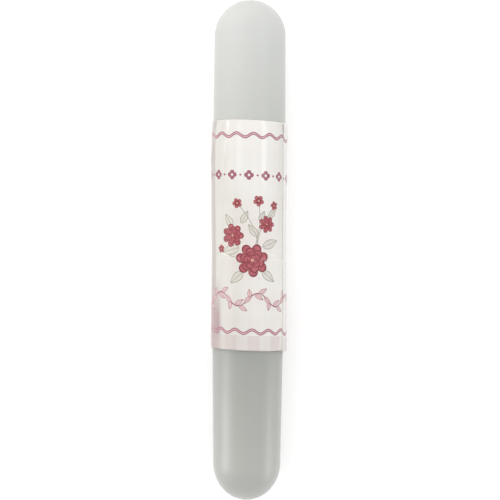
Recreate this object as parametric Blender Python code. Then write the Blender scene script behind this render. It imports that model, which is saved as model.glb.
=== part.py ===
"""Travel holder for one toothbrush.

Two round-ended plastic tubes plug together end to end, and a printed band is wrapped round the
joint. The holder lies on its side: the tubes run along Y with the cap towards +Y, and the front
of the band faces +Z.
"""

import math

import bmesh
import bpy
from mathutils import Matrix, Vector

MM = 0.001

# The joint between the two tubes
SEAM_DIAMETER = 29.3 * MM
SEAM_GAP = 0.3 * MM
SEAM_EDGE = 0.35 * MM

# Cap tube, from its mouth to its round end
CAP_LENGTH = 101.8 * MM
CAP_DOME_DIAMETER = 28.4 * MM
CAP_DOME_HEIGHT = 14.2 * MM
CAP_WALL = 1.1 * MM
CAP_END_WALL = 2.0 * MM
MOUTH_LEAD_IN = 0.45 * MM

# Lower tube, from its shoulder to its round end
LOWER_LENGTH = 97.9 * MM
LOWER_DOME_DIAMETER = 26.9 * MM
LOWER_DOME_HEIGHT = 14.8 * MM
LOWER_WALL = 1.6 * MM
LOWER_END_WALL = 2.0 * MM

# Neck of the lower tube, which plugs into the cap
NECK_LENGTH = 15.0 * MM
NECK_WALL = 0.9 * MM
NECK_CLEARANCE = 0.2 * MM
NECK_LEAD_IN = 0.8 * MM
NECK_SLOPE = 0.45 * MM
NECK_ROOT = 0.3 * MM
NECK_LIP = 0.25 * MM

# Snap bead on the neck, and the groove in the cap that takes it
BEAD_PLACE = 5.0 * MM
BEAD_WIDTH = 1.6 * MM
BEAD_HEIGHT = 0.2 * MM
GROOVE_DEPTH = 0.25 * MM
GROOVE_CLEARANCE = 0.25 * MM

# Air hole in each round end
VENT_DIAMETER = 3.0 * MM
VENT_ROUND = 0.3 * MM

# Printed band, measured along the tubes from the shoulder. Its film is slack, so it lies flat on
# its underside, where the holder rests on it.
BAND_ABOVE_SEAM = 53.0 * MM
BAND_BELOW_SEAM = 37.7 * MM
BAND_CLEARANCE = 0.2 * MM
BAND_THICKNESS = 0.15 * MM
BAND_SKEW = math.radians(1.8)
REST_WIDTH = 4.0 * MM
LAP_EDGE = math.radians(62)
LAP_WIDTH = 7.9 * MM
LAP_RISE = 0.25 * MM

# Smoothness of the turned shapes. The band has fewer flats than the tubes, each about as wide
# as its underside.
TUBE_FLATS = 48
BAND_FLATS = 24
DOME_STEPS = 12
BEAD_STEPS = 6
ROUND_STEPS = 3

# Where the holder lies: the band's flat underside is on the ground, and the tubes are centred
# along Y
SEAM_RADIUS = SEAM_DIAMETER / 2
WIDEST_RADIUS = max(SEAM_DIAMETER, CAP_DOME_DIAMETER, LOWER_DOME_DIAMETER) / 2
AXIS_HEIGHT = WIDEST_RADIUS + BAND_CLEARANCE + BAND_THICKNESS
BAND_RADIUS = math.hypot(AXIS_HEIGHT, REST_WIDTH / 2)
SHOULDER_Y = (LOWER_LENGTH - SEAM_GAP - CAP_LENGTH) / 2


def material(name, colour, roughness):
    """A plain finish for one piece."""
    made = bpy.data.materials.new(name)
    made.use_nodes = True
    shader = made.node_tree.nodes["Principled BSDF"]
    shader.inputs["Base Color"].default_value = (*colour, 1.0)
    shader.inputs["Roughness"].default_value = roughness
    shader.inputs["Metallic"].default_value = 0.0
    made.diffuse_color = (*colour, 1.0)
    return made


def piece(name, bm, finish, carrier):
    """Makes a finished piece, whose origin is on the tubes' axis at the seam."""
    bmesh.ops.recalc_face_normals(bm, faces=bm.faces)
    mesh = bpy.data.meshes.new(name)
    bm.to_mesh(mesh)
    bm.free()
    mesh.shade_smooth()
    mesh.set_sharp_from_angle(angle=math.radians(32))
    mesh.materials.append(finish)
    made = bpy.data.objects.new(name, mesh)
    bpy.context.scene.collection.objects.link(made)
    made.parent = carrier
    return made


def quarter_turn(steps):
    """Angles from 0 to a quarter turn."""
    return [math.pi / 2 * step / steps for step in range(steps + 1)]


def dome(radius, height, foot, hole):
    """A round end's outline as (radius, distance from the seam), from its foot in to the hole."""
    last = math.acos(hole / radius)
    angles = [last * step / DOME_STEPS for step in range(DOME_STEPS + 1)]
    return [(radius * math.cos(a), foot + height * math.sin(a)) for a in angles]


def swelling(radius, rise, middle, width):
    """A low round ridge along a wall, or a groove where the rise goes into the wall."""
    angles = [math.pi * step / BEAD_STEPS for step in range(BEAD_STEPS + 1)]
    return [
        (radius + rise * math.sin(a), middle - width / 2 * math.cos(a)) for a in angles
    ]


def closed_end(dome_radius, dome_height, end_wall, length, inner_radius):
    """The outline of a round end, in along the outside, through the air hole and back inside."""
    foot = length - dome_height
    vent = VENT_DIAMETER / 2
    outside = dome(dome_radius, dome_height, foot, vent + VENT_ROUND)
    top = outside[-1][1]
    rim = [
        (
            vent + VENT_ROUND * (1 - math.sin(a)),
            top - VENT_ROUND * (1 - math.cos(a)),
        )
        for a in quarter_turn(ROUND_STEPS)[1:]
    ]
    inside = dome(inner_radius, dome_height - end_wall, foot, vent)
    return outside + rim + inside[::-1]


def cap_radius(distance):
    """Outer radius of the cap at this distance from its mouth: it narrows a little to the dome."""
    share = distance / (CAP_LENGTH - CAP_DOME_HEIGHT)
    return SEAM_RADIUS + (CAP_DOME_DIAMETER / 2 - SEAM_RADIUS) * share


def cap_bore(distance):
    """Inner radius of the cap at this distance from its mouth."""
    return cap_radius(distance) - CAP_WALL


def neck_radius():
    """Outer radius of the neck: its bead clears the cap's bore at the neck's tip."""
    return cap_bore(NECK_LENGTH - SEAM_GAP) - NECK_CLEARANCE - BEAD_HEIGHT


def cap_outline():
    """The cap's section: (radius, distance from its mouth)."""
    foot = CAP_LENGTH - CAP_DOME_HEIGHT
    groove_middle = BEAD_PLACE - SEAM_GAP
    groove = swelling(
        cap_bore(groove_middle),
        GROOVE_DEPTH,
        groove_middle,
        BEAD_WIDTH + 2 * GROOVE_CLEARANCE,
    )
    mouth = [
        (cap_bore(MOUTH_LEAD_IN), MOUTH_LEAD_IN),
        (cap_bore(0) + MOUTH_LEAD_IN, 0),
        (SEAM_RADIUS - SEAM_EDGE, 0),
        (cap_radius(SEAM_EDGE), SEAM_EDGE),
    ]
    end = closed_end(
        CAP_DOME_DIAMETER / 2, CAP_DOME_HEIGHT, CAP_END_WALL, CAP_LENGTH, cap_bore(foot)
    )
    return mouth + end + groove[::-1]


def lower_outline():
    """The lower tube's section: (radius, distance below its shoulder). Its neck is above it.

    The bore narrows all the way from the neck to the round end, so the wall is thickest at the
    shoulder.
    """
    neck = neck_radius()
    bore = neck - NECK_WALL
    shoulder = [
        (SEAM_RADIUS, SEAM_EDGE),
        (SEAM_RADIUS - SEAM_EDGE, 0),
        (neck + NECK_ROOT, 0),
        (neck, -NECK_ROOT),
    ]
    tip = [
        (neck, NECK_LEAD_IN - NECK_LENGTH),
        (neck - NECK_SLOPE, -NECK_LENGTH),
        (bore + NECK_LIP, -NECK_LENGTH),
        (bore, NECK_LIP - NECK_LENGTH),
    ]
    end = closed_end(
        LOWER_DOME_DIAMETER / 2,
        LOWER_DOME_HEIGHT,
        LOWER_END_WALL,
        LOWER_LENGTH,
        LOWER_DOME_DIAMETER / 2 - LOWER_WALL,
    )
    bead = swelling(neck, BEAD_HEIGHT, -BEAD_PLACE, BEAD_WIDTH)
    return shoulder + bead[::-1] + tip + end[::-1]


def turned(outline, start_y, direction):
    """Turns a closed outline round the tubes' axis, with its flats at the outline's own radius."""
    phase = math.pi / TUBE_FLATS
    corner = 1 / math.cos(phase)
    bm = bmesh.new()
    loop = [
        bm.verts.new(
            (
                radius * corner * math.sin(phase),
                start_y + direction * distance,
                radius * corner * math.cos(phase),
            )
        )
        for radius, distance in outline
    ]
    edges = [bm.edges.new(pair) for pair in zip(loop, loop[1:] + loop[:1])]
    bmesh.ops.spin(
        bm,
        geom=loop + edges,
        cent=(0, 0, 0),
        axis=(0, 1, 0),
        angle=2 * math.pi,
        steps=TUBE_FLATS,
        use_merge=True,
    )
    return bm


def sweep(bm, section, angle):
    """Carries the band's section on round the axis, and returns it at its new place."""
    made = bmesh.ops.spin(
        bm,
        geom=section,
        cent=(0, 0, 0),
        axis=(0, 1, 0),
        angle=angle,
        steps=max(1, round(angle / (2 * math.pi) * BAND_FLATS)),
    )
    return made["geom_last"]


def edges_of(section):
    return [part for part in section if isinstance(part, bmesh.types.BMEdge)]


def faces_out(face):
    """True for a face on the band's outside, and not on its inside or its ends."""
    centre = face.calc_center_median()
    return face.normal.x * centre.x + face.normal.z * centre.z > BAND_RADIUS / 2


def lift_ply(bm, faces, root_angle):
    """Raises the lap's outer ply, from nothing at its root to its full rise at the free edge."""
    made = bmesh.ops.extrude_face_region(bm, geom=faces)["geom"]
    bmesh.ops.delete(bm, geom=faces, context="FACES")
    for vert in [part for part in made if isinstance(part, bmesh.types.BMVert)]:
        angle = math.atan2(vert.co.x, vert.co.z)
        rise = LAP_RISE * (root_angle - angle) / (root_angle - LAP_EDGE)
        vert.co += rise * Vector((math.sin(angle), 0, math.cos(angle)))
    bmesh.ops.remove_doubles(bm, verts=bm.verts, dist=0.001 * MM)


def band():
    """The printed band: a slack sleeve with a flat underside, a glued lap on its right side and
    slanted ends. Its section is swept from one edge of the flat round to the other.
    """
    flat_edge = math.pi - math.asin(REST_WIDTH / 2 / BAND_RADIUS)
    lap_root = LAP_EDGE + LAP_WIDTH / BAND_RADIUS
    inner_radius = BAND_RADIUS - BAND_THICKNESS

    bm = bmesh.new()
    corners = [
        bm.verts.new((-radius * math.sin(flat_edge), y, radius * math.cos(flat_edge)))
        for radius, y in (
            (inner_radius, -BAND_BELOW_SEAM),
            (BAND_RADIUS, -BAND_BELOW_SEAM),
            (BAND_RADIUS, BAND_ABOVE_SEAM),
            (inner_radius, BAND_ABOVE_SEAM),
        )
    ]
    first = [bm.edges.new(pair) for pair in zip(corners, corners[1:] + corners[:1])]
    section = sweep(bm, corners + first, flat_edge + LAP_EDGE)
    before_lap = set(bm.faces)
    section = sweep(bm, section, lap_root - LAP_EDGE)
    lap = set(bm.faces) - before_lap
    section = sweep(bm, section, flat_edge - lap_root)
    bmesh.ops.bridge_loops(bm, edges=first + edges_of(section))
    bmesh.ops.recalc_face_normals(bm, faces=bm.faces)

    lift_ply(bm, [face for face in lap if faces_out(face)], lap_root)
    slant = Matrix.Identity(4)
    slant[1][0] = -math.tan(BAND_SKEW)
    bmesh.ops.transform(bm, matrix=slant, verts=bm.verts)
    return bm


def main():
    for old in list(bpy.data.objects):
        bpy.data.objects.remove(old, do_unlink=True)

    axis = bpy.data.objects.new("tube_axis", None)
    axis.location = (0, SHOULDER_Y, AXIS_HEIGHT)
    bpy.context.scene.collection.objects.link(axis)

    lower_plastic = material("lower_plastic", (0.50, 0.51, 0.48), 0.42)
    cap_plastic = material("cap_plastic", (0.68, 0.69, 0.67), 0.42)
    printed_film = material("printed_film", (0.86, 0.82, 0.79), 0.28)

    piece("lower_tube", turned(lower_outline(), 0, -1), lower_plastic, axis)
    piece("cap_tube", turned(cap_outline(), SEAM_GAP, 1), cap_plastic, axis)
    piece("label_band", band(), printed_film, axis)
    bpy.context.view_layer.update()


main()
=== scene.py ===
"""Looks of the travel holder for one toothbrush.

Two frosted plastic tubes with round ends, plugged together, and a glossy printed film wrapped
round the joint. The tubes lie along Y with the cap towards +Y, and the front of the film faces
+Z. Lengths are in metres unless a name says otherwise.
"""

import math

import bmesh
import bpy
from mathutils import Matrix, Vector


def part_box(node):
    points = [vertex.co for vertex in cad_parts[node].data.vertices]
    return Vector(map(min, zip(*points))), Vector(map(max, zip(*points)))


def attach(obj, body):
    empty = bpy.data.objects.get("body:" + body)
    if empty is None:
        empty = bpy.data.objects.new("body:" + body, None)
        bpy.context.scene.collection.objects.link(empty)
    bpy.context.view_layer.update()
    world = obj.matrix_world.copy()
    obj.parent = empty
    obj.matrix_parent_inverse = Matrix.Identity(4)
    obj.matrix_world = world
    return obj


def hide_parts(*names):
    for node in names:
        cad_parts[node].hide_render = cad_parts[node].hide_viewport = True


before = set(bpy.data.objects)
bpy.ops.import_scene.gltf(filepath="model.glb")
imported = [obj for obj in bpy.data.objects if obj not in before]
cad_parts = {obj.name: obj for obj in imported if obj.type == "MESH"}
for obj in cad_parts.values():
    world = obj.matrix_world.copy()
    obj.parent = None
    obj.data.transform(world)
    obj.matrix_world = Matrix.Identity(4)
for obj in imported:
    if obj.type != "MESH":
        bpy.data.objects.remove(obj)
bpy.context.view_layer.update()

MM = 0.001

# Places read from the frame
CAP_LOW, CAP_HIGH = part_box("cap_tube")
LOWER_LOW, LOWER_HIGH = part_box("lower_tube")
AXIS_Z = (CAP_LOW.z + CAP_HIGH.z) / 2
SEAM_RADIUS = (CAP_HIGH.x - CAP_LOW.x) / 2
MOUTH_Y = CAP_LOW.y
SEAM_GAP = 0.3 * MM
SHOULDER_Y = MOUTH_Y - SEAM_GAP

# Cap tube
CAP_LENGTH = 101.8 * MM
CAP_DOME_RADIUS = 14.2 * MM
CAP_DOME_HEIGHT = 14.2 * MM
CAP_WALL = 1.1 * MM
CAP_END_WALL = 2.0 * MM

# Lower tube
LOWER_LENGTH = 97.9 * MM
LOWER_DOME_RADIUS = 13.45 * MM
LOWER_DOME_HEIGHT = 14.8 * MM
LOWER_WALL = 1.6 * MM
LOWER_END_WALL = 2.0 * MM

# Neck, bead and groove
NECK_WALL = 0.9 * MM
NECK_CLEARANCE = 0.2 * MM
NECK_LEAD_IN = 0.8 * MM
NECK_SLOPE = 0.45 * MM
NECK_ROOT = 0.3 * MM
BEAD_PLACE = 5.0 * MM
BEAD_WIDTH = 1.6 * MM
BEAD_HEIGHT = 0.2 * MM
GROOVE_DEPTH = 0.25 * MM
GROOVE_CLEARANCE = 0.25 * MM

# Edges and the air hole in each round end
EDGE_ROUND = 0.35 * MM
VENT_RADIUS = 1.5 * MM
VENT_ROUND = 0.4 * MM

# Smoothness of the turned tubes
TUBE_SEGMENTS = 160
DOME_STEPS = 40
ROUND_STEPS = 6
MERGE_DISTANCE = 0.002 * MM

# Printed film: heights are above the shoulder
FILM_TOP = 53.0 * MM
FILM_BOTTOM = -37.0 * MM
FILM_RADIUS = 15.13 * MM
FILM_THICKNESS = 0.12 * MM
FILM_SKEW = math.radians(1.8)
PLY_STEP = 0.17 * MM
LAP_EDGE = math.radians(62)
LAP_WIDTH = 7.9 * MM
LAP_DROP = 1.4 * MM
TIGHT_RADIUS = 14.82 * MM
FILM_COLUMNS = 300
FILM_ROWS = 150

# Slack of the film: how far it bulges, hugs the tubes, flares and sways
BULGE = 0.25 * MM
BULGE_HEIGHT = 38.0 * MM
BULGE_REACH = 10.0 * MM
HUG = 0.5 * MM
HUG_FROM = 22.0 * MM
HUG_TO = -8.0 * MM
FLARE = 0.42 * MM
FLARE_FROM = 10.0 * MM
FLARE_TO = -34.0 * MM
SWAY = 0.04 * MM
SWAY_LENGTH = 14.0 * MM
LEFT_REACH = math.radians(42)
RIGHT_REACH = math.radians(38)
SEAM_DIP = 0.2 * MM
SEAM_REACH = 0.8 * MM
TOP_HUG = 5.0 * MM

# Free edge of the lap: its curl, and how far it slips down
CURL = 0.01 * MM
TOP_CURL = 0.08 * MM
TOP_CURL_FROM = 46.0 * MM
TOP_CURL_TO = 52.0 * MM
CURL_REACH = 1.6 * MM
EDGE_SLIP = 0.5 * MM
EDGE_SLIP_REACH = 40.0 * MM

# Creases of the slack film: angle from the front in degrees and height in mm at both ends,
# then rise and half width in mm. Each fades along its run as part of a half wave does
CREASE_START = 0.1
CREASE_RUN = 0.85
CREASES = (
    ((-41, 57), (-57, 46), 0.42, 0.9),
    ((-37, 44), (-42, 30), 0.56, 1.05),
    ((-62, 58), (-54, 0), 0.26, 0.9),
    ((-66, 44), (-88, 34), 0.20, 1.6),
    ((70, 30), (58, 20), 0.12, 1.0),
)

# Inks, as linear colours
GROUND = (0.885, 0.867, 0.83)
# Pink of the side stripes, made darker than the print so that at the left it is partly painted
# shade
STRIPE_PINK_AND_SHADE = (0.47, 0.415, 0.39)
# Painted shade laid over the cream ground
GROUND_SHADE = (0.735, 0.718, 0.67)
GROUND_PINK = (0.42, 0.285, 0.295)
CHECK_PINK = (0.74, 0.58, 0.56)
ROSE_LINE = (0.34, 0.105, 0.145)
ROSE_FILL = (0.66, 0.43, 0.46)
BLOOM_DEEP = (0.20, 0.012, 0.022)
BLOOM_PALE = (0.56, 0.135, 0.165)
BLOOM_HEART = (0.66, 0.33, 0.25)
LEAF_FILL = (0.66, 0.625, 0.55)
LEAF_LINE = (0.20, 0.205, 0.155)
BLUSH = (0.76, 0.52, 0.515)

# Layout of the print, in millimetres: X round the film from the front, Y above the shoulder
BORDER_HEIGHTS = (47.0, -29.5)
BORDER_WAVE = 6.8
BORDER_SWING = 0.75
BORDER_LINE = 0.36
BORDER_SPLIT = 0.42
ROW_HEIGHT = 31.5
ROW_STEP = 6.8
BLOSSOM_SIZE = 1.9
BLOSSOM_HOLLOW = 0.5
DOT_SIZE = 0.42
VINE_HEIGHT = -17.0
VINE_WAVE = 15.87
VINE_SWING = 2.6
VINE_LINE = 0.42
VINE_LEAF_FULLNESS = 0.8
CHECK_STEP = 4.76
PRINT_REPEAT = 47.6
SEAM_HEIGHT = -0.3
HEM_GAP = 1.6
STEM_LINE = 0.1
LEAF_OUTLINE = 0.1
LEAF_RIB = 0.07
INK_SOFTNESS = 0.06
FINE_SOFTNESS = 0.05
WASH_SOFTNESS = 0.08

# Shapes of petals and leaves, as shares of their own size
PETAL_ROUNDNESS = 0.55
PETAL_NOTCH = 0.42
PETAL_SOFTNESS = 0.015
PETAL_TONE = (0.25, 0.85)
PETAL_RIM = 0.1
BLOOM_HEART_SIZE = 0.1
BUD_HEART_SIZE = 0.2
LEAF_BELLY = 0.8
LEAF_REACH = 0.485
END_SOFTNESS = 0.01

# Washes of the print: how strong each ink is laid, and how much it follows the uneven wash
WASH_SCALE = 0.55
WASH_RANGE = (0.32, 0.68)
BLOOM_TONE = 0.35
BLOOM_WASH = 0.9
LEAF_TONE = 0.45
LEAF_WASH = 0.5
HAZE_TONE = 0.2
HAZE_WASH = 0.5
HAZE_FADE = (0.75, 1.25)
VINE_TONE = 0.8

# Painted shade of the ground: below a height, below the seam, along it, and less towards the right
SHADE_HEIGHTS = (18.0, 34.0)
SHADE_TONE = 0.7
SHADE_ACROSS = (-6.0, 10.0, 0.6, 0.1)
BELOW_SEAM_TONE = 0.3
BELOW_SEAM_SOFTNESS = 0.4
SEAM_TONE = 0.3
SEAM_LINE = 0.2
SEAM_SOFTNESS = 0.25
LEFT_SHADE_TONE = 0.95

# Pink of the ground: side stripes, the left one partly painted shade, low on the left and in the
# hem and in the gingham
LEFT_STRIPE_AND_SHADE_TONE = 0.8
RIGHT_STRIPE_RISE = (-10.0, 20.0, 0.0, 0.2)
PINK_HEIGHTS = (-27.0, -8.0)
PINK_TONE = 0.04
HEM_SOFTNESS = 0.1
HEM_TONE = 0.16
HEM_STRIPE_TONE = 0.14
CHECK_SOFTNESS = 0.12
CHECK_TONE = 0.03
LOW_CHECK_TONE = 0.05

# Soft-edged places across the print: where each rises from and to, then falls from and to
LEFT_STRIPE_AND_SHADE = (-22.0, -20.6, -16.4, -15.2)
RIGHT_STRIPE = (10.0, 14.5, 15.8, 17.2)
LEFT_SHADE = (-22.0, -20.0, -13.0, 3.0)
LOW_CORNER = (-24.0, -21.0, -13.6, -11.2)

# Leaves of the vine: start, turn in degrees and length
VINE_LEAVES = ((-1.4, 48, 4.6), (2.6, -32, 4.2), (0.8, 96, 3.4), (4.4, 30, 3.8))

# Flowers of the spray: petal rings as (share of the size, petals, turn), then each flower as
# (middle, size, turn)
BLOOM_RINGS = ((1.0, 7, 0.0), (0.76, 6, 0.5), (0.52, 5, 0.2), (0.30, 4, 0.9))
SPRAY_BLOOMS = (
    ((1.6, -1.6), 6.6, 0.3),
    ((-6.4, 7.8), 4.6, 0.9),
    ((7.4, 12.6), 3.4, 0.0),
)

# Stalks as (start, length, bend, turn in degrees), and leaves with their fullness for the bend
SPRAY_STEMS = (
    ((-4.5, 20.0), 22.0, 2.6, -68),
    ((10.8, 19.5), 22.5, -2.4, -110),
    ((-11.6, 2.5), 12.5, -1.8, -12),
    ((4.0, 21.0), 21.0, 1.6, -98),
)
SPRAY_LEAVES = (
    ((-3.5, 3.2), 8.0, 1.8, 196),
    ((5.6, 3.6), 7.5, 1.7, 22),
    ((3.6, 7.6), 6.0, 1.3, 128),
    ((-6.5, 11.0), 6.0, 1.4, 122),
    ((-2.0, -6.2), 7.0, 1.6, 222),
    ((5.5, -5.6), 7.0, 1.6, -38),
    ((8.2, 15.0), 5.4, 1.2, 48),
    ((-2.9, 12.6), 5.6, 1.2, 62),
    ((4.4, 13.4), 4.8, 1.1, 66),
)

# Small blossoms as (middle, size), and the blush haze behind the spray
SPRAY_BUDS = (((-4.6, 20.4), 2.0), ((10.9, 20.0), 1.8), ((3.9, 21.6), 2.2), ((-11.9, 2.4), 1.7))
HAZE_MIDDLE = (0.0, 5.0)
HAZE_REACH = (13.0, 17.0)

# Frosted plastic, with its colours at the round end and beside the film
GRAIN_SCALE = 5200.0
RIPPLE_STRETCH = (160.0, 9.0, 160.0)
MOTTLE_SCALE = 80.0
LINE_STRETCH = (2400.0, 22.0, 2400.0)
GRAIN_SHARE = 0.35
RIPPLE_SHARE = 0.35
MOTTLE_RANGE = (0.3, 0.7)
LINE_RANGE = (0.35, 0.65)
MOTTLE_GREY = (0.25, 0.25, 0.23)
MOTTLE_TONE = 0.02
LINE_WHITE = (0.9, 0.9, 0.88)
LINE_TONE = 0.015
ROUGHNESS_SWING = 0.015
LINE_ROUGHNESS = 0.01
CAP_END_COLOUR = (0.67, 0.681, 0.662)
# Painted shade: each tube's colour beside the film is drawn darker than at its round end
CAP_SHADED_JOINT_COLOUR = (0.59, 0.60, 0.567)
# The lower tube's colours are partly its own tint and partly painted shade
LOWER_END_COLOUR_AND_SHADE = (0.437, 0.445, 0.408)
LOWER_SHADED_JOINT_COLOUR = (0.302, 0.311, 0.282)
LIGHT_DEPTH = 1.6 * MM
GRAIN_HEIGHT = 0.03 * MM

# Film finish
FILM_ROUGHNESS = 0.045
INK_ROUGHNESS = 0.05
MOTTLE_ROUGHNESS = 0.03
SPECK_TONE = (0.975, 1.0)
SLACK_STRETCH = (130.0, 45.0, 130.0)
SLACK_HEIGHT = 0.25 * MM
BACK_GREY = (0.80, 0.785, 0.76)
BACK_CREAM = (0.86, 0.845, 0.82)
BACK_ROUGHNESS = (0.45, 0.55)
BACK_GRAIN_HEIGHT = 0.02 * MM

# Camera, fitted to the photograph
IMAGE_SIZE = 500
MM_PER_PIXEL = 0.401
CAMERA_DISTANCE = 503 * MM
CAMERA_X = 0.6 * MM
CAMERA_Y = 4.5 * MM
AIM_Y = 0.1 * MM
CAMERA_ROLL = math.radians(0.47)

# Studio: the sky is dimmer past the near end, and the floor is lifted to white further out
WHITE = (1.0, 1.0, 1.0)
WARM = (1.0, 0.93, 0.84)
SKY_LIGHT = 0.79
NEAR_SKY_LIGHT = 0.25
NEAR_SKY = (-0.95, -0.25)
FLOOR_SIZE = 3.0
FLOOR_GREY = (0.50, 0.50, 0.49)
FLOOR_LIFT = 0.25
FLOOR_LIFT_REACH = (0.3, 1.0)


def smoothstep(low, high, value):
    """0 below low, 1 above high, and an even curve between."""
    share = min(1.0, max(0.0, (value - low) / (high - low)))
    return share * share * (3 - 2 * share)


def hump(value, middle, width):
    """A soft bump that is 1 at the middle and dies away over the width."""
    return math.exp(-(((value - middle) / width) ** 2))


# Node helpers


def feed(tree, socket, value):
    """Gives a socket a link, a colour or a plain value."""
    if isinstance(value, bpy.types.NodeSocket):
        tree.links.new(value, socket)
    elif socket.type == "RGBA":
        socket.default_value = (*value, 1.0)
    else:
        socket.default_value = value


def calc(tree, operation, *values, clamp=False):
    """A Math node."""
    node = tree.nodes.new("ShaderNodeMath")
    node.operation = operation
    node.use_clamp = clamp
    for socket, value in zip(node.inputs, values):
        feed(tree, socket, value)
    return node.outputs[0]


def under(tree, value, limit, softness):
    """A mask that is 1 where the value is under the limit, with a soft edge."""
    node = tree.nodes.new("ShaderNodeMapRange")
    node.interpolation_type = "SMOOTHSTEP"
    gap = calc(tree, "SUBTRACT", value, limit)
    feed(tree, node.inputs["Value"], gap)
    node.inputs["From Min"].default_value = softness
    node.inputs["From Max"].default_value = -softness
    return node.outputs["Result"]


def spread(tree, value, low, high, to_low, to_high):
    """Maps a value from one range to another, held at its ends."""
    node = tree.nodes.new("ShaderNodeMapRange")
    feed(tree, node.inputs["Value"], value)
    node.inputs["From Min"].default_value = low
    node.inputs["From Max"].default_value = high
    node.inputs["To Min"].default_value = to_low
    node.inputs["To Max"].default_value = to_high
    return node.outputs["Result"]


def tint(tree, mask, below, above):
    """Lays one colour over another where the mask is 1."""
    node = tree.nodes.new("ShaderNodeMix")
    node.data_type = "RGBA"
    feed(tree, node.inputs["Factor"], mask)
    feed(tree, node.inputs["A"], below)
    feed(tree, node.inputs["B"], above)
    return node.outputs["Result"]


def noise(tree, place, scale, detail=2.0, roughness=0.5):
    """A Noise Texture's value."""
    node = tree.nodes.new("ShaderNodeTexNoise")
    feed(tree, node.inputs["Vector"], place)
    node.inputs["Scale"].default_value = scale
    node.inputs["Detail"].default_value = detail
    node.inputs["Roughness"].default_value = roughness
    return node.outputs["Fac"]


def stretched(tree, place, scale):
    """A place with each direction scaled by itself."""
    node = tree.nodes.new("ShaderNodeMapping")
    feed(tree, node.inputs["Vector"], place)
    node.inputs["Scale"].default_value = scale
    return node.outputs["Vector"]


def length_of(tree, x, y):
    """The distance of X and Y from nought."""
    return calc(tree, "SQRT", calc(tree, "MULTIPLY_ADD", x, x, calc(tree, "MULTIPLY", y, y)))


def shifted(tree, x, y, middle):
    """X and Y measured from a middle."""
    return calc(tree, "SUBTRACT", x, middle[0]), calc(tree, "SUBTRACT", y, middle[1])


def turned_axes(tree, x, y, turn):
    """X and Y measured along a turned direction and across it."""
    cosine = calc(tree, "COSINE", turn)
    sine = calc(tree, "SINE", turn)
    along = calc(tree, "MULTIPLY_ADD", x, cosine, calc(tree, "MULTIPLY", y, sine))
    fall = calc(tree, "MULTIPLY", x, sine)
    across = calc(tree, "SUBTRACT", calc(tree, "MULTIPLY", y, cosine), fall)
    return along, across


def new_group(name, inputs, outputs):
    """A shader node group with named inputs (name, kind, value) and outputs (name, kind)."""
    tree = bpy.data.node_groups.new(name, "ShaderNodeTree")
    for label, kind, value in inputs:
        socket = tree.interface.new_socket(
            name=label, in_out="INPUT", socket_type="NodeSocket" + kind
        )
        if value is not None:
            socket.default_value = value
    for label, kind in outputs:
        tree.interface.new_socket(name=label, in_out="OUTPUT", socket_type="NodeSocket" + kind)
    source = tree.nodes.new("NodeGroupInput")
    result = tree.nodes.new("NodeGroupOutput")
    return tree, source.outputs, result.inputs


def place_group(tree, group, **values):
    """Places a node group, and feeds the inputs named by the keywords."""
    node = tree.nodes.new("ShaderNodeGroup")
    node.node_tree = group
    for label, value in values.items():
        feed(tree, node.inputs[label.replace("_", " ")], value)
    return node.outputs


def new_material(name):
    """A material with its node tree, its Principled shader and its object coordinates."""
    made = bpy.data.materials.new(name)
    made.use_nodes = True
    tree = made.node_tree
    shader = tree.nodes["Principled BSDF"]
    place = tree.nodes.new("ShaderNodeTexCoord").outputs["Object"]
    return made, tree, shader, place


def bump(tree, height, distance, strength):
    """A Bump node's normal."""
    node = tree.nodes.new("ShaderNodeBump")
    node.inputs["Strength"].default_value = strength
    node.inputs["Distance"].default_value = distance
    feed(tree, node.inputs["Height"], height)
    return node.outputs["Normal"]


# Finishes of the plastic


def frosted_skin_group():
    """Moulded frosted skin: fine grain, slow mottling, sink ripple and faint draw lines."""
    tree, given, result = new_group(
        "frosted_skin",
        [("Place", "Vector", None)],
        [("Height", "Float"), ("Mottle", "Float"), ("Lines", "Float")],
    )
    place = given["Place"]
    grain = noise(tree, place, GRAIN_SCALE, 3.0, 0.6)
    ripple = noise(tree, stretched(tree, place, RIPPLE_STRETCH), 1.0)
    mottle = noise(tree, place, MOTTLE_SCALE)
    lines = noise(tree, stretched(tree, place, LINE_STRETCH), 1.0)
    lines = spread(tree, lines, *LINE_RANGE, 0.0, 1.0)
    height = calc(tree, "MULTIPLY", ripple, RIPPLE_SHARE)
    height = calc(tree, "MULTIPLY_ADD", grain, GRAIN_SHARE, height)
    feed(tree, result["Height"], height)
    feed(tree, result["Mottle"], mottle)
    feed(tree, result["Lines"], lines)
    return tree


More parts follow.
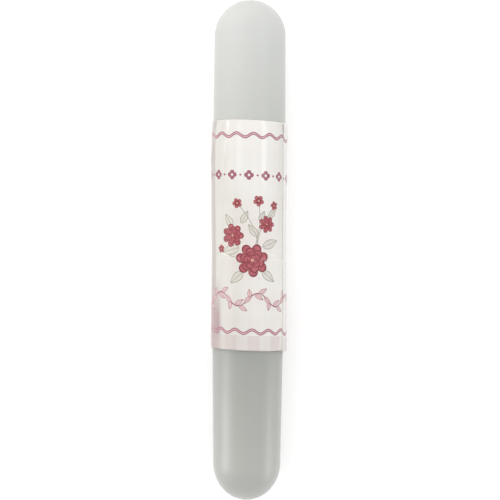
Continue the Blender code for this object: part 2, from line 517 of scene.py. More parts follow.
def plastic(name, skin, end_colour, shaded_joint_colour, end_y, joint_y, roughness, gloss, haze):
    """Frosted plastic: the light goes a little way in, and painted shade darkens it towards the
    film.
    """
    made, tree, shader, place = new_material(name)
    finish = place_group(tree, skin, Place=place)
    parts = tree.nodes.new("ShaderNodeSeparateXYZ")
    feed(tree, parts.inputs[0], place)
    # Painted shade: the colour darkens from the round end towards the film
    shade_share = spread(tree, parts.outputs["Y"], end_y, joint_y, 0.0, 1.0)
    body = tint(tree, shade_share, end_colour, shaded_joint_colour)
    tone = spread(tree, finish["Mottle"], *MOTTLE_RANGE, 0.0, MOTTLE_TONE)
    body = tint(tree, tone, body, MOTTLE_GREY)
    body = tint(tree, calc(tree, "MULTIPLY", finish["Lines"], LINE_TONE), body, LINE_WHITE)
    feed(tree, shader.inputs["Base Color"], body)
    smoothest = roughness - ROUGHNESS_SWING
    roughest = roughness + ROUGHNESS_SWING
    rough = spread(tree, finish["Mottle"], *MOTTLE_RANGE, smoothest, roughest)
    rough = calc(tree, "MULTIPLY_ADD", finish["Lines"], LINE_ROUGHNESS, rough)
    feed(tree, shader.inputs["Roughness"], rough)
    feed(tree, shader.inputs["Normal"], bump(tree, finish["Height"], GRAIN_HEIGHT, 0.2))
    shader.inputs["IOR"].default_value = 1.49
    shader.inputs["Specular IOR Level"].default_value = gloss
    shader.inputs["Sheen Weight"].default_value = haze
    shader.inputs["Sheen Roughness"].default_value = 0.6
    shader.inputs["Subsurface Weight"].default_value = 0.35
    shader.inputs["Subsurface Radius"].default_value = (1.0, 1.0, 0.9)
    shader.inputs["Subsurface Scale"].default_value = LIGHT_DEPTH
    return made


def cap_plastic(skin):
    """The cap's plastic: pale, with painted shade darkening it beside the film."""
    return plastic(
        "cap_plastic",
        skin,
        end_colour=CAP_END_COLOUR,
        shaded_joint_colour=CAP_SHADED_JOINT_COLOUR,
        end_y=CAP_HIGH.y - CAP_DOME_HEIGHT,
        joint_y=SHOULDER_Y + FILM_TOP,
        roughness=0.34,
        gloss=0.35,
        haze=0.0,
    )


def lower_plastic(skin):
    """The lower tube's plastic: darker than the cap, partly its own tint and partly painted shade.
    """
    return plastic(
        "lower_plastic",
        skin,
        end_colour=LOWER_END_COLOUR_AND_SHADE,
        shaded_joint_colour=LOWER_SHADED_JOINT_COLOUR,
        end_y=LOWER_LOW.y,
        joint_y=SHOULDER_Y + FILM_BOTTOM,
        roughness=0.36,
        gloss=1.0,
        haze=0.65,
    )


# Print on the film


def wavy_line_group():
    """A line of even width that waves up and down along X."""
    tree, given, result = new_group(
        "wavy_line",
        [
            ("X", "Float", 0.0),
            ("Y", "Float", 0.0),
            ("Height", "Float", 0.0),
            ("Wave", "Float", 6.8),
            ("Swing", "Float", 0.6),
            ("Width", "Float", 0.3),
        ],
        [("Mask", "Float")],
    )
    turn = calc(tree, "DIVIDE", calc(tree, "MULTIPLY", given["X"], 2 * math.pi), given["Wave"])
    middle = calc(
        tree, "MULTIPLY_ADD", calc(tree, "SINE", turn), given["Swing"], given["Height"]
    )
    steepness = calc(
        tree,
        "MULTIPLY",
        calc(tree, "COSINE", turn),
        calc(
            tree,
            "DIVIDE",
            calc(tree, "MULTIPLY", given["Swing"], 2 * math.pi),
            given["Wave"],
        ),
    )
    leaning = calc(tree, "SQRT", calc(tree, "MULTIPLY_ADD", steepness, steepness, 1.0))
    gap = calc(tree, "ABSOLUTE", calc(tree, "SUBTRACT", given["Y"], middle))
    gap = calc(tree, "DIVIDE", gap, leaning)
    half = calc(tree, "MULTIPLY", given["Width"], 0.5)
    feed(tree, result["Mask"], under(tree, gap, half, INK_SOFTNESS))
    return tree


def petal_ring_group():
    """A ring of round-tipped petals about a middle, with a tone from root to tip."""
    tree, given, result = new_group(
        "petal_ring",
        [
            ("Radius", "Float", 0.0),
            ("Angle", "Float", 0.0),
            ("Size", "Float", 5.0),
            ("Petals", "Float", 6.0),
            ("Turn", "Float", 0.0),
        ],
        [("Mask", "Float"), ("Tone", "Float")],
    )
    angle = calc(tree, "SUBTRACT", given["Angle"], given["Turn"])
    half_petals = calc(tree, "MULTIPLY", given["Petals"], 0.5)
    wave = calc(tree, "COSINE", calc(tree, "MULTIPLY", angle, half_petals))
    crown = calc(tree, "POWER", calc(tree, "ABSOLUTE", wave), PETAL_ROUNDNESS)
    reach = calc(tree, "MULTIPLY_ADD", crown, PETAL_NOTCH, 1.0 - PETAL_NOTCH)
    reach = calc(tree, "MULTIPLY", given["Size"], reach)
    share = calc(tree, "DIVIDE", given["Radius"], reach)
    feed(tree, result["Mask"], under(tree, share, 1.0, PETAL_SOFTNESS))
    root_to_tip = spread(tree, share, *PETAL_TONE, 0.0, 1.0)
    rim = under(tree, calc(tree, "SUBTRACT", 1.0, share), PETAL_RIM, PETAL_RIM / 2)
    tone = calc(tree, "MULTIPLY", root_to_tip, crown)
    feed(tree, result["Tone"], calc(tree, "MULTIPLY", tone, calc(tree, "SUBTRACT", 1.0, rim)))
    return tree


def leaf_group():
    """A pointed leaf from its stalk, with a midrib."""
    tree, given, result = new_group(
        "leaf",
        [
            ("X", "Float", 0.0),
            ("Y", "Float", 0.0),
            ("Length", "Float", 5.0),
            ("Fullness", "Float", 1.2),
            ("Turn", "Float", 0.0),
        ],
        [("Mask", "Float"), ("Line", "Float")],
    )
    along, across = turned_axes(tree, given["X"], given["Y"], given["Turn"])
    share = calc(tree, "DIVIDE", along, given["Length"], clamp=True)
    turn = calc(tree, "MULTIPLY", calc(tree, "POWER", share, LEAF_BELLY), math.pi)
    half = calc(tree, "MULTIPLY", calc(tree, "SINE", turn), given["Fullness"])
    side = calc(tree, "ABSOLUTE", across)
    over = calc(tree, "SUBTRACT", side, half)
    inside = under(tree, over, 0.0, FINE_SOFTNESS)
    off_middle = calc(tree, "ABSOLUTE", calc(tree, "SUBTRACT", share, 0.5))
    ahead = under(tree, off_middle, LEAF_REACH, END_SOFTNESS)
    mask = calc(tree, "MULTIPLY", inside, ahead)
    outline = under(tree, calc(tree, "ABSOLUTE", over), LEAF_OUTLINE, INK_SOFTNESS)
    rib = calc(tree, "MULTIPLY", under(tree, side, LEAF_RIB, FINE_SOFTNESS), mask)
    line = calc(tree, "MAXIMUM", calc(tree, "MULTIPLY", outline, ahead), rib)
    feed(tree, result["Mask"], mask)
    feed(tree, result["Line"], line)
    return tree


def bloom_group(petal_ring):
    """A full flower of petal rings round a pale heart."""
    tree, given, result = new_group(
        "bloom",
        [
            ("X", "Float", 0.0),
            ("Y", "Float", 0.0),
            ("Size", "Float", 5.0),
            ("Turn", "Float", 0.0),
            ("Wash", "Float", 0.5),
        ],
        [("Mask", "Float"), ("Color", "Color")],
    )
    x, y = given["X"], given["Y"]
    radius = length_of(tree, x, y)
    angle = calc(tree, "ARCTAN2", y, x)
    strength = calc(tree, "MULTIPLY_ADD", given["Wash"], BLOOM_WASH, BLOOM_TONE)
    colour = None
    total = None
    for share, petals, turn in BLOOM_RINGS:
        ring = place_group(
            tree,
            petal_ring,
            Radius=radius,
            Angle=angle,
            Size=calc(tree, "MULTIPLY", given["Size"], share),
            Petals=float(petals),
            Turn=calc(tree, "ADD", given["Turn"], turn),
        )
        tone = calc(tree, "MULTIPLY", ring["Tone"], strength)
        petal = tint(tree, calc(tree, "MINIMUM", tone, 1.0), BLOOM_DEEP, BLOOM_PALE)
        colour = petal if colour is None else tint(tree, ring["Mask"], colour, petal)
        total = ring["Mask"] if total is None else calc(tree, "MAXIMUM", total, ring["Mask"])
    heart = calc(tree, "MULTIPLY", given["Size"], BLOOM_HEART_SIZE)
    colour = tint(tree, under(tree, radius, heart, WASH_SOFTNESS), colour, BLOOM_HEART)
    feed(tree, result["Mask"], total)
    feed(tree, result["Color"], colour)
    return tree


def stem_group():
    """A thin bent stalk from its start."""
    tree, given, result = new_group(
        "stem",
        [
            ("X", "Float", 0.0),
            ("Y", "Float", 0.0),
            ("Length", "Float", 10.0),
            ("Bend", "Float", 1.0),
            ("Turn", "Float", 0.0),
        ],
        [("Mask", "Float")],
    )
    along, across = turned_axes(tree, given["X"], given["Y"], given["Turn"])
    share = calc(tree, "DIVIDE", along, given["Length"])
    bow = calc(tree, "MULTIPLY", share, calc(tree, "SUBTRACT", 1.0, share))
    middle = calc(tree, "MULTIPLY", calc(tree, "MULTIPLY", bow, 4.0), given["Bend"])
    gap = calc(tree, "ABSOLUTE", calc(tree, "SUBTRACT", across, middle))
    off_middle = calc(tree, "ABSOLUTE", calc(tree, "SUBTRACT", share, 0.5))
    ahead = under(tree, off_middle, 0.5, END_SOFTNESS)
    line = under(tree, gap, STEM_LINE, FINE_SOFTNESS)
    feed(tree, result["Mask"], calc(tree, "MULTIPLY", line, ahead))
    return tree


def with_haze(tree, x, y, wash, colour):
    """Lays the blush haze of the spray, and gives its mask too."""
    near_x, near_y = shifted(tree, x, y, HAZE_MIDDLE)
    near_x = calc(tree, "DIVIDE", near_x, HAZE_REACH[0])
    near_y = calc(tree, "DIVIDE", near_y, HAZE_REACH[1])
    haze = calc(tree, "MULTIPLY_ADD", wash, HAZE_WASH, length_of(tree, near_x, near_y))
    haze = spread(tree, haze, *HAZE_FADE, HAZE_TONE, 0.0)
    return tint(tree, haze, colour, BLUSH), haze


def with_stems(tree, stem, x, y, colour):
    """Lays the stalks of the spray."""
    for start, length, bend, turn in SPRAY_STEMS:
        near_x, near_y = shifted(tree, x, y, start)
        made = place_group(
            tree, stem, X=near_x, Y=near_y, Length=length, Bend=bend, Turn=math.radians(turn)
        )
        colour = tint(tree, made["Mask"], colour, LEAF_LINE)
    return colour


def with_leaves(tree, leaf, x, y, wash, colour, ink):
    """Lays the leaves of the spray, and adds them to the ink's mask."""
    soft = calc(tree, "MULTIPLY_ADD", wash, LEAF_WASH, LEAF_TONE, clamp=True)
    for start, length, fullness, turn in SPRAY_LEAVES:
        near_x, near_y = shifted(tree, x, y, start)
        made = place_group(
            tree,
            leaf,
            X=near_x,
            Y=near_y,
            Length=length,
            Fullness=fullness,
            Turn=math.radians(turn),
        )
        colour = tint(tree, calc(tree, "MULTIPLY", made["Mask"], soft), colour, LEAF_FILL)
        colour = tint(tree, made["Line"], colour, LEAF_LINE)
        ink = calc(tree, "MAXIMUM", ink, made["Mask"])
    return colour, ink


def with_buds(tree, petal_ring, x, y, colour):
    """Lays the small blossoms of the spray, each turned in its own way."""
    for middle, size in SPRAY_BUDS:
        near_x, near_y = shifted(tree, x, y, middle)
        radius = length_of(tree, near_x, near_y)
        bud = place_group(
            tree,
            petal_ring,
            Radius=radius,
            Angle=calc(tree, "ARCTAN2", near_y, near_x),
            Size=size,
            Petals=5.0,
            Turn=size,
        )
        petal = tint(tree, bud["Tone"], BLOOM_DEEP, BLOOM_PALE)
        heart = under(tree, radius, BUD_HEART_SIZE * size, INK_SOFTNESS)
        petal = tint(tree, heart, petal, BLOOM_HEART)
        colour = tint(tree, bud["Mask"], colour, petal)
    return colour


def with_blooms(tree, bloom, x, y, wash, colour, ink):
    """Lays the full flowers of the spray, and adds them to the ink's mask."""
    for middle, size, turn in SPRAY_BLOOMS:
        near_x, near_y = shifted(tree, x, y, middle)
        made = place_group(tree, bloom, X=near_x, Y=near_y, Size=size, Turn=turn, Wash=wash)
        colour = tint(tree, made["Mask"], colour, made["Color"])
        ink = calc(tree, "MAXIMUM", ink, made["Mask"])
    return colour, ink


def spray_group(bloom, leaf, stem, petal_ring):
    """A loose spray of three flowers with stalks, leaves and small blossoms."""
    tree, given, result = new_group(
        "spray",
        [
            ("X", "Float", 0.0),
            ("Y", "Float", 0.0),
            ("Wash", "Float", 0.5),
            ("Below", "Color", None),
        ],
        [("Color", "Color"), ("Ink", "Float")],
    )
    x, y, wash = given["X"], given["Y"], given["Wash"]
    colour, haze = with_haze(tree, x, y, wash, given["Below"])
    ink = calc(tree, "MULTIPLY", haze, 0.5)
    colour = with_stems(tree, stem, x, y, colour)
    colour, ink = with_leaves(tree, leaf, x, y, wash, colour, ink)
    colour = with_buds(tree, petal_ring, x, y, colour)
    colour, ink = with_blooms(tree, bloom, x, y, wash, colour, ink)
    feed(tree, result["Color"], colour)
    feed(tree, result["Ink"], ink)
    return tree


def check_mask(tree, value):
    """Even stripes across a value."""
    turn = calc(tree, "MULTIPLY", value, math.pi / CHECK_STEP)
    return spread(tree, calc(tree, "SINE", turn), -CHECK_SOFTNESS, CHECK_SOFTNESS, 0.0, 1.0)


def window(tree, value, rise_from, rise_to, fall_from, fall_to):
    """A mask that rises and falls again along a value."""
    rise = spread(tree, value, rise_from, rise_to, 0.0, 1.0)
    fall = spread(tree, value, fall_from, fall_to, 1.0, 0.0)
    return calc(tree, "MULTIPLY", rise, fall)


def shaded_ground(tree, x, y):
    """The cream ground with painted shade: darker low down, at the left, below the seam and along
    the pressed seam line.
    """
    low = spread(tree, y, *SHADE_HEIGHTS, SHADE_TONE, 0.0)
    below = under(tree, y, SEAM_HEIGHT, BELOW_SEAM_SOFTNESS)
    low = calc(tree, "MULTIPLY_ADD", below, BELOW_SEAM_TONE, low)
    low = calc(tree, "MULTIPLY", low, spread(tree, x, *SHADE_ACROSS))
    off_seam = calc(tree, "ABSOLUTE", calc(tree, "SUBTRACT", y, SEAM_HEIGHT))
    seam = under(tree, off_seam, SEAM_LINE, SEAM_SOFTNESS)
    shade = calc(tree, "MULTIPLY_ADD", seam, SEAM_TONE, low)
    left = window(tree, x, *LEFT_SHADE)
    shade = calc(tree, "MULTIPLY_ADD", left, LEFT_SHADE_TONE, shade, clamp=True)
    return tint(tree, shade, GROUND, GROUND_SHADE)


def checked_ground(tree, x, y):
    """The ground with its pale gingham: pinker in side stripes, the left one partly painted shade,
    low on the left and in the hem.
    """
    colour = shaded_ground(tree, x, y)
    left = window(tree, x, *LEFT_STRIPE_AND_SHADE)
    right = window(tree, x, *RIGHT_STRIPE)
    right = calc(tree, "MULTIPLY", right, spread(tree, y, *RIGHT_STRIPE_RISE))
    stripes_and_shade = calc(tree, "MULTIPLY_ADD", left, LEFT_STRIPE_AND_SHADE_TONE, right)
    # The left stripe is partly painted shade at the film's left side
    colour = tint(tree, stripes_and_shade, colour, STRIPE_PINK_AND_SHADE)
    low = spread(tree, y, *PINK_HEIGHTS, 1.0, 0.0)
    hem = under(tree, y, BORDER_HEIGHTS[1] - HEM_GAP, HEM_SOFTNESS)
    corner = window(tree, x, *LOW_CORNER)
    corner = calc(tree, "MULTIPLY", corner, calc(tree, "MULTIPLY_ADD", hem, -0.5, 1.0))
    share = calc(tree, "MULTIPLY", calc(tree, "ADD", corner, PINK_TONE), low)
    colour = tint(tree, share, colour, GROUND_PINK)
    columns = check_mask(tree, x)
    striped = calc(tree, "MULTIPLY_ADD", columns, HEM_STRIPE_TONE, HEM_TONE)
    colour = tint(tree, calc(tree, "MULTIPLY", hem, striped), colour, GROUND_PINK)
    checks = calc(tree, "ADD", columns, check_mask(tree, y))
    share = calc(tree, "MULTIPLY_ADD", low, LOW_CHECK_TONE, CHECK_TONE)
    return tint(tree, calc(tree, "MULTIPLY", checks, share), colour, CHECK_PINK)


def with_borders(tree, wavy_line, x, y, colour):
    """Lays a doubled wavy line near the film's top and bottom."""
    for height in BORDER_HEIGHTS:
        for offset, width, ink in (
            (0.0, 3 * BORDER_LINE, ROSE_FILL),
            (BORDER_SPLIT, BORDER_LINE, ROSE_LINE),
            (-BORDER_SPLIT, BORDER_LINE, ROSE_LINE),
        ):
            line = place_group(
                tree,
                wavy_line,
                X=x,
                Y=y,
                Height=height + offset,
                Wave=BORDER_WAVE,
                Swing=BORDER_SWING,
                Width=width,
            )
            colour = tint(tree, line["Mask"], colour, ink)
    return colour


def with_blossom_row(tree, petal_ring, x, y, colour):
    """Lays a row of small four-petalled blossoms with dots between them."""
    cell = calc(tree, "WRAP", x, ROW_STEP / 2, -ROW_STEP / 2)
    row_y = calc(tree, "SUBTRACT", y, ROW_HEIGHT)
    radius = length_of(tree, cell, row_y)
    blossom = place_group(
        tree,
        petal_ring,
        Radius=radius,
        Angle=calc(tree, "ARCTAN2", row_y, cell),
        Size=BLOSSOM_SIZE,
        Petals=4.0,
        Turn=0.0,
    )
    inward = calc(tree, "MULTIPLY", radius, -1.0)
    hollow = under(tree, inward, -BLOSSOM_HOLLOW, WASH_SOFTNESS)
    colour = tint(tree, calc(tree, "MULTIPLY", blossom["Mask"], hollow), colour, ROSE_LINE)
    between = calc(tree, "SUBTRACT", calc(tree, "ABSOLUTE", cell), ROW_STEP / 2)
    dot = under(tree, length_of(tree, between, row_y), DOT_SIZE, INK_SOFTNESS)
    return tint(tree, dot, colour, ROSE_LINE)


def with_vine(tree, wavy_line, leaf, x, y, colour):
    """Lays a waving vine with leaves on both sides."""
    line = place_group(
        tree,
        wavy_line,
        X=x,
        Y=y,
        Height=VINE_HEIGHT,
        Wave=VINE_WAVE,
        Swing=VINE_SWING,
        Width=VINE_LINE,
    )
    colour = tint(tree, line["Mask"], colour, ROSE_LINE)
    vine_y = calc(tree, "SUBTRACT", y, VINE_HEIGHT)
    for flip, shift in ((1.0, 0.0), (-1.0, VINE_WAVE / 2)):
        leaf_x = calc(
            tree, "WRAP", calc(tree, "SUBTRACT", x, shift), VINE_WAVE / 2, -VINE_WAVE / 2
        )
        leaf_y = calc(tree, "MULTIPLY", vine_y, flip)
        for start, turn, length in VINE_LEAVES:
            foot = VINE_SWING * math.sin(2 * math.pi * start / VINE_WAVE)
            near_x, near_y = shifted(tree, leaf_x, leaf_y, (start, foot))
            made = place_group(
                tree,
                leaf,
                X=near_x,
                Y=near_y,
                Length=length,
                Fullness=VINE_LEAF_FULLNESS,
                Turn=math.radians(turn),
            )
            colour = tint(tree, calc(tree, "MULTIPLY", made["Mask"], VINE_TONE), colour, BLUSH)
            colour = tint(tree, made["Line"], colour, ROSE_LINE)
    return colour


def film_print_group():
    """The film's whole print, read from X round it and Y up it, in millimetres."""
    wavy_line = wavy_line_group()
    leaf = leaf_group()
    petal_ring = petal_ring_group()
    spray = spray_group(bloom_group(petal_ring), leaf, stem_group(), petal_ring)
    tree, given, result = new_group(
        "film_print",
        [("Place", "Vector", None)],
        [("Color", "Color"), ("Ink", "Float")],
    )
    parts = tree.nodes.new("ShaderNodeSeparateXYZ")
    feed(tree, parts.inputs[0], given["Place"])
    x, y = parts.outputs["X"], parts.outputs["Y"]
    x = calc(tree, "WRAP", x, PRINT_REPEAT / 2, -PRINT_REPEAT / 2)
    wash = noise(tree, given["Place"], WASH_SCALE, 3.0, 0.6)
    wash = spread(tree, wash, *WASH_RANGE, 0.0, 1.0)
    colour = checked_ground(tree, x, y)
    colour = with_borders(tree, wavy_line, x, y, colour)
    colour = with_blossom_row(tree, petal_ring, x, y, colour)
    colour = with_vine(tree, wavy_line, leaf, x, y, colour)
    made = place_group(tree, spray, X=x, Y=y, Wash=wash, Below=colour)
    feed(tree, result["Color"], made["Color"])
    feed(tree, result["Ink"], made["Ink"])
    return tree


def film_face_material(skin):
    """The printed, gloss-coated face of the film."""
    made, tree, shader, place = new_material("printed_face")
    chart = tree.nodes.new("ShaderNodeUVMap")
    chart.uv_map = "print"
    printed = place_group(tree, film_print_group(), Place=chart.outputs["UV"])
    finish = place_group(tree, skin, Place=place)
    speck = spread(tree, finish["Mottle"], *MOTTLE_RANGE, *SPECK_TONE)
    paper = tree.nodes.new("ShaderNodeMix")
    paper.data_type = "RGBA"
    paper.blend_type = "MULTIPLY"
    paper.inputs["Factor"].default_value = 1.0
    feed(tree, paper.inputs["A"], printed["Color"])
    grey = tree.nodes.new("ShaderNodeCombineColor")
    for channel in grey.inputs:
        feed(tree, channel, speck)
    feed(tree, paper.inputs["B"], grey.outputs[0])
    feed(tree, shader.inputs["Base Color"], paper.outputs["Result"])
    rough = calc(tree, "MULTIPLY_ADD", printed["Ink"], INK_ROUGHNESS, FILM_ROUGHNESS)
    rough = calc(tree, "MULTIPLY_ADD", finish["Mottle"], MOTTLE_ROUGHNESS, rough)
    feed(tree, shader.inputs["Roughness"], rough)
    slack = noise(tree, stretched(tree, place, SLACK_STRETCH), 1.0)
    feed(tree, shader.inputs["Normal"], bump(tree, slack, SLACK_HEIGHT, 0.35))
    shader.inputs["IOR"].default_value = 1.5
    shader.inputs["Specular IOR Level"].default_value = 0.4
    shader.inputs["Coat Weight"].default_value = 0.25
    shader.inputs["Coat Roughness"].default_value = 0.05
    return made


def film_back_material(skin):
    """The film's plain back and its cut edges."""
    made, tree, shader, place = new_material("film_back")
    finish = place_group(tree, skin, Place=place)
    tone = spread(tree, finish["Mottle"], *MOTTLE_RANGE, 0.0, 1.0)
    feed(tree, shader.inputs["Base Color"], tint(tree, tone, BACK_GREY, BACK_CREAM))
    rough = spread(tree, finish["Mottle"], *MOTTLE_RANGE, *BACK_ROUGHNESS)
    feed(tree, shader.inputs["Roughness"], rough)
    feed(tree, shader.inputs["Normal"], bump(tree, finish["Height"], BACK_GRAIN_HEIGHT, 0.4))
    return made


# Turned tubes


def arc(middle, radius, start, end, steps=ROUND_STEPS):
    """Points on a round edge, as (radius, distance), between two angles in degrees."""
    angles = [math.radians(start + (end - start) * k / steps) for k in range(steps + 1)]
    return [(middle[0] + radius * math.cos(a), middle[1] + radius * math.sin(a)) for a in angles]


def dome(radius, height, foot, hole):
    """A round end as (radius, distance), from its foot in to the hole."""
    last = math.acos(hole / radius)
    angles = [last * step / DOME_STEPS for step in range(DOME_STEPS + 1)]
    return [(radius * math.cos(a), foot + height * math.sin(a)) for a in angles]


def swelling(radius, rise, middle, width):
    """A low round ridge along a wall, or a groove."""
    steps = 2 * ROUND_STEPS
    angles = [math.pi * step / steps for step in range(steps + 1)]
    return [(radius + rise * math.sin(a), middle - width / 2 * math.cos(a)) for a in angles]


def closed_end(radius, height, end_wall, length, inner_radius):
    """A round end: in along its outside, through the air hole and back along its inside."""
    foot = length - height
    hole = VENT_RADIUS + VENT_ROUND
    outside = dome(radius, height, foot, hole)
    inside = dome(inner_radius, height - end_wall, foot, hole)
    top = outside[-1][1]
    ceiling = inside[-1][1]
    outer_rim = arc((hole, top - VENT_ROUND), VENT_ROUND, 90, 180)
    inner_rim = arc((hole, ceiling + VENT_ROUND), VENT_ROUND, 180, 270)
    return outside[:-1] + outer_rim + inner_rim + inside[-2::-1]


def cap_radius(distance):
    """The cap's outer radius at a distance from its mouth."""
    share = distance / (CAP_LENGTH - CAP_DOME_HEIGHT)
    return SEAM_RADIUS + (CAP_DOME_RADIUS - SEAM_RADIUS) * share


def cap_outline():
    """The cap's section, as (radius, distance from its mouth)."""
    bore = cap_radius(0) - CAP_WALL
    foot = CAP_LENGTH - CAP_DOME_HEIGHT
    groove_middle = BEAD_PLACE - SEAM_GAP
    groove = swelling(
        cap_radius(groove_middle) - CAP_WALL,
        GROOVE_DEPTH,
        groove_middle,
        BEAD_WIDTH + 2 * GROOVE_CLEARANCE,
    )
    mouth = arc((bore + EDGE_ROUND, EDGE_ROUND), EDGE_ROUND, 180, 270)
    mouth += arc((SEAM_RADIUS - EDGE_ROUND, EDGE_ROUND), EDGE_ROUND, 270, 360)
    end = closed_end(
        CAP_DOME_RADIUS, CAP_DOME_HEIGHT, CAP_END_WALL, CAP_LENGTH, cap_radius(foot) - CAP_WALL
    )
    return mouth + end + groove[::-1]


def lower_outline():
    """The lower tube's section, as (radius, distance below its shoulder), neck above."""
    neck_length = LOWER_HIGH.y - SHOULDER_Y
    tip_bore = cap_radius(neck_length - SEAM_GAP) - CAP_WALL
    neck = tip_bore - NECK_CLEARANCE - BEAD_HEIGHT
    shoulder = arc((SEAM_RADIUS - EDGE_ROUND, EDGE_ROUND), EDGE_ROUND, 0, -90)
    shoulder += arc((neck + NECK_ROOT, -NECK_ROOT), NECK_ROOT, 90, 180)
    bead = swelling(neck, BEAD_HEIGHT, -BEAD_PLACE, BEAD_WIDTH)[::-1]
    lip = NECK_WALL / 2 - NECK_SLOPE / 2
    tip = [(neck, NECK_LEAD_IN - neck_length)]
    tip += arc((neck - NECK_SLOPE - lip, lip - neck_length), lip, 0, -180)[1:]
    end = closed_end(
        LOWER_DOME_RADIUS,
        LOWER_DOME_HEIGHT,
        LOWER_END_WALL,
        LOWER_LENGTH,
        LOWER_DOME_RADIUS - LOWER_WALL,
    )
    return shoulder + bead + tip + end[::-1]


def finished_piece(name, bm, body, node, materials):
    """Links a finished piece that rides on a body and stands for a node."""
    mesh = bpy.data.meshes.new(name)
    bm.to_mesh(mesh)
    bm.free()
    mesh.shade_smooth()
    for finish in materials:
        mesh.materials.append(finish)
    made = bpy.data.objects.new(name, mesh)
    bpy.context.scene.collection.objects.link(made)
    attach(made, body)
    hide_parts(node)
    return made


def turned(outline, start_y, direction):
    """Turns a closed outline round the tubes' axis."""
    bm = bmesh.new()
    loop = [
        bm.verts.new((0, start_y + direction * far, AXIS_Z + radius)) for radius, far in outline
    ]
    edges = [bm.edges.new(pair) for pair in zip(loop, loop[1:] + loop[:1])]
    bmesh.ops.spin(
        bm,
        geom=loop + edges,
        cent=(0, 0, AXIS_Z),
        axis=(0, 1, 0),
        angle=2 * math.pi,
        steps=TUBE_SEGMENTS,
        use_merge=True,
    )
    bmesh.ops.remove_doubles(bm, verts=bm.verts, dist=MERGE_DISTANCE)
    bmesh.ops.recalc_face_normals(bm, faces=bm.faces)
    return bm


def frosted_cap(skin):
    """The cap, from its mouth to its round end."""
    bm = turned(cap_outline(), MOUTH_Y, 1)
    materials = [cap_plastic(skin)]
    finished_piece("frosted_cap", bm, "cap", "cap_tube", materials)


def frosted_tube(skin):
    """The lower tube, with its neck above the shoulder and its round end below."""
    bm = turned(lower_outline(), SHOULDER_Y, -1)
    materials = [lower_plastic(skin)]
    finished_piece("frosted_tube", bm, "tube", "lower_tube", materials)


# Printed film


def film_stand_off(angle, height):
    """How far the slack film stands outside its even round, at an angle from the front."""
    left = hump(math.remainder(angle + math.pi / 2, 2 * math.pi), 0, LEFT_REACH)
    right = hump(math.remainder(angle - math.pi / 2, 2 * math.pi), 0, RIGHT_REACH)
    bulge = BULGE * left * hump(height, BULGE_HEIGHT, BULGE_REACH)
    hugging = HUG * left * (1 - smoothstep(HUG_TO, HUG_FROM, height))
    flare = FLARE * right * (1 - smoothstep(FLARE_TO, FLARE_FROM, height))
    sway = SWAY * math.sin(3 * angle + height / SWAY_LENGTH)
    seam = SEAM_DIP * hump(height, SEAM_HEIGHT * MM, SEAM_REACH)
    return bulge - hugging + flare + crease(angle, height) + sway - seam


def crease(angle, height):
    """How far the creases lift the film at an angle from the front."""
    place = Vector((FILM_RADIUS * math.remainder(angle, 2 * math.pi), height))
    lift = 0.0
    for start, end, rise, width in CREASES:
        foot = Vector((FILM_RADIUS * math.radians(start[0]), start[1] * MM))
        run = Vector((FILM_RADIUS * math.radians(end[0]), end[1] * MM)) - foot
        share = min(1.0, max(0.0, (place - foot).dot(run) / run.length_squared))
        gap = (place - foot - share * run).length
        fade = math.sin(math.pi * (CREASE_START + CREASE_RUN * share))
        lift += rise * MM * hump(gap, 0, width * MM) * fade
    return lift


def wrapped(along, height):
    """Where a point of the flat film comes to lie, from its free edge and its height."""
    angle = LAP_EDGE + along / FILM_RADIUS
    outer_ply = 1 - smoothstep(LAP_WIDTH, LAP_WIDTH + LAP_DROP, along)
    radius = FILM_RADIUS + PLY_STEP * outer_ply + film_stand_off(angle, height)
    hugging = smoothstep(FILM_TOP - TOP_HUG, FILM_TOP, height) * (1 - outer_ply)
    radius += (TIGHT_RADIUS - radius) * hugging
    curl = CURL + TOP_CURL * smoothstep(TOP_CURL_FROM, TOP_CURL_TO, height)
    radius = max(radius, TIGHT_RADIUS) + hump(along, 0, CURL_REACH) * curl
    x = radius * math.sin(angle)
    z = max(-AXIS_Z, radius * math.cos(angle))
    slip = EDGE_SLIP * (1 - smoothstep(0, EDGE_SLIP_REACH, along))
    return Vector((x, SHOULDER_Y + height - slip - math.tan(FILM_SKEW) * x, AXIS_Z + z))


def film_sheet():
    """The film as it is cut, with its print's chart, wrapped round the tubes."""
    length = 2 * math.pi * FILM_RADIUS + LAP_WIDTH
    tall = FILM_TOP - FILM_BOTTOM
    bm = bmesh.new()
    bmesh.ops.create_grid(bm, x_segments=FILM_COLUMNS, y_segments=FILM_ROWS, size=0.5)
    front = (2 * math.pi - LAP_EDGE) * FILM_RADIUS
    chart = bm.loops.layers.uv.new("print")
    for face in bm.faces:
        for loop in face.loops:
            along = (loop.vert.co.x + 0.5) * length
            height = FILM_BOTTOM + (loop.vert.co.y + 0.5) * tall
            loop[chart].uv = ((along - front) / MM, height / MM)
    for vert in bm.verts:
        vert.co = wrapped((vert.co.x + 0.5) * length, FILM_BOTTOM + (vert.co.y + 0.5) * tall)
    return bm


def outward(bm):
    """Turns the film's faces so that its printed side is outside."""
    bm.normal_update()
    face = next(iter(bm.faces))
    centre = face.calc_center_median() - Vector((0, 0, AXIS_Z))
    if face.normal.x * centre.x + face.normal.z * centre.z < 0:
        bmesh.ops.reverse_faces(bm, faces=bm.faces)


def printed_film(skin):
    """The wrapped film with its thickness inside its printed face."""
    bm = film_sheet()
    outward(bm)
    materials = [film_face_material(skin), film_back_material(skin)]
    made = finished_piece("printed_film", bm, "band", "label_band", materials)
    wall = made.modifiers.new("thickness", "SOLIDIFY")
    wall.thickness = FILM_THICKNESS
    wall.offset = -1
    wall.material_offset = 1
    wall.material_offset_rim = 1
    return made


# Studio


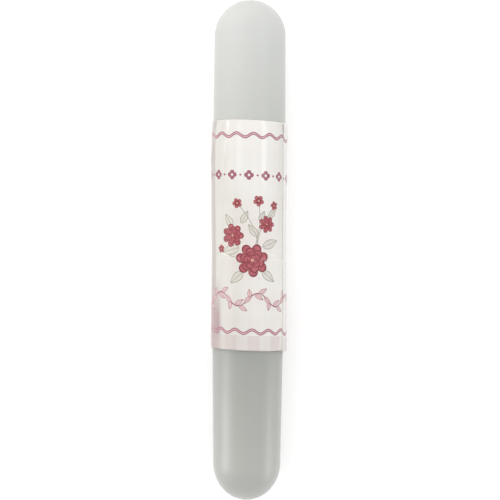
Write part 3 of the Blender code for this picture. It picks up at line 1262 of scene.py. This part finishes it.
def seen_directly(tree):
    """A mask that is 1 for the camera, for reflections and through see-through parts."""
    rays = tree.nodes.new("ShaderNodeLightPath").outputs
    seen = calc(tree, "MAXIMUM", rays["Is Camera Ray"], rays["Is Glossy Ray"])
    return calc(tree, "MAXIMUM", seen, rays["Is Transmission Ray"])


def floor():
    """A plain pale floor that shows white and keeps the shadow."""
    bm = bmesh.new()
    bmesh.ops.create_grid(bm, x_segments=1, y_segments=1, size=FLOOR_SIZE)
    mesh = bpy.data.meshes.new("floor")
    bm.to_mesh(mesh)
    bm.free()
    made = bpy.data.objects.new("floor", mesh)
    bpy.context.scene.collection.objects.link(made)
    paper = bpy.data.materials.new("pale_floor")
    paper.use_nodes = True
    tree = paper.node_tree
    shader = tree.nodes["Principled BSDF"]
    shader.inputs["Roughness"].default_value = 0.9
    shader.inputs["Specular IOR Level"].default_value = 0.0
    seen = seen_directly(tree)
    colour = tint(tree, seen, FLOOR_GREY, WHITE)
    feed(tree, shader.inputs["Base Color"], colour)
    parts = tree.nodes.new("ShaderNodeSeparateXYZ")
    feed(tree, parts.inputs[0], tree.nodes.new("ShaderNodeTexCoord").outputs["Object"])
    reach = length_of(tree, parts.outputs["X"], parts.outputs["Y"])
    lift = spread(tree, reach, *FLOOR_LIFT_REACH, FLOOR_LIFT, 1.0)
    feed(tree, shader.inputs["Emission Strength"], calc(tree, "MULTIPLY", seen, lift))
    feed(tree, shader.inputs["Emission Color"], WHITE)
    mesh.materials.append(paper)


def softbox(name, place, size, watts, colour=WHITE, tall=(0, 1, 0)):
    """A rectangular lamp that faces the holder, with its second side along the tall direction."""
    lamp = bpy.data.lights.new(name, "AREA")
    lamp.shape = "RECTANGLE"
    lamp.size, lamp.size_y = size
    lamp.energy = watts
    lamp.color = colour
    made = bpy.data.objects.new(name, lamp)
    made.location = place
    back = (Vector(place) - Vector((0, 0, AXIS_Z))).normalized()
    along = (Vector(tall) - back.dot(Vector(tall)) * back).normalized()
    across = along.cross(back)
    made.rotation_euler = Matrix((across, along, back)).transposed().to_euler()
    bpy.context.scene.collection.objects.link(made)


def studio():
    """Soft lamps on both sides and past the cap, and a pale sky."""
    softbox("front_panel", (0.00, 0.20, 1.05), (1.00, 1.00), 0.7)
    softbox("left_panel", (-0.72, -0.12, 0.35), (0.50, 0.90), 0.9)
    softbox("left_low_panel", (-0.76, -0.225, 0.20), (0.38, 0.21), 0.85)
    softbox("left_high_panel", (-0.74, 0.215, 0.29), (0.09, 0.10), 0.12, WARM)
    softbox("left_strip", (-0.434, 0.33, 0.745), (0.25, 0.56), 0.56)
    softbox("right_strip", (0.620, 0.33, 0.60), (0.26, 0.56), 0.86)
    softbox("wide_right_panel", (0.45, 0.15, 0.85), (0.60, 0.90), 0.48)
    softbox("low_right_panel", (0.80, -0.33, 0.165), (0.30, 0.40), 0.95)
    softbox("far_panel", (-0.15, 0.80, 0.20), (0.45, 0.13), 0.6, WARM, tall=(0, 0, 1))
    softbox("far_left_panel", (-0.60, 0.54, 0.20), (0.40, 0.13), 0.5, WARM, tall=(0, 0, 1))
    sky = bpy.data.worlds.new("studio")
    bpy.context.scene.world = sky
    sky.use_nodes = True
    tree = sky.node_tree
    background = tree.nodes["Background"]
    feed(tree, background.inputs["Color"], WHITE)
    parts = tree.nodes.new("ShaderNodeSeparateXYZ")
    feed(tree, parts.inputs[0], tree.nodes.new("ShaderNodeTexCoord").outputs["Generated"])
    light = spread(tree, parts.outputs["Y"], *NEAR_SKY, NEAR_SKY_LIGHT, SKY_LIGHT)
    feed(tree, background.inputs["Strength"], calc(tree, "MAXIMUM", seen_directly(tree), light))


def camera():
    """The photograph's view: straight down on the front, with the cap at the top."""
    data = bpy.data.cameras.new("camera")
    half_frame = IMAGE_SIZE / 2 * MM_PER_PIXEL * MM
    data.angle = 2 * math.atan(half_frame / CAMERA_DISTANCE)
    data.clip_start = 0.01
    made = bpy.data.objects.new("camera", data)
    made.location = (CAMERA_X, CAMERA_Y, AXIS_Z + CAMERA_DISTANCE)
    pitch = math.atan((CAMERA_Y - AIM_Y) / CAMERA_DISTANCE)
    made.rotation_euler = (-pitch, 0, CAMERA_ROLL)
    bpy.context.scene.collection.objects.link(made)
    bpy.context.scene.camera = made


def main():
    """Makes the pieces, the studio and the view."""
    skin = frosted_skin_group()
    frosted_cap(skin)
    frosted_tube(skin)
    printed_film(skin)
    floor()
    studio()
    camera()
    bpy.context.scene.view_settings.view_transform = "Standard"


main()
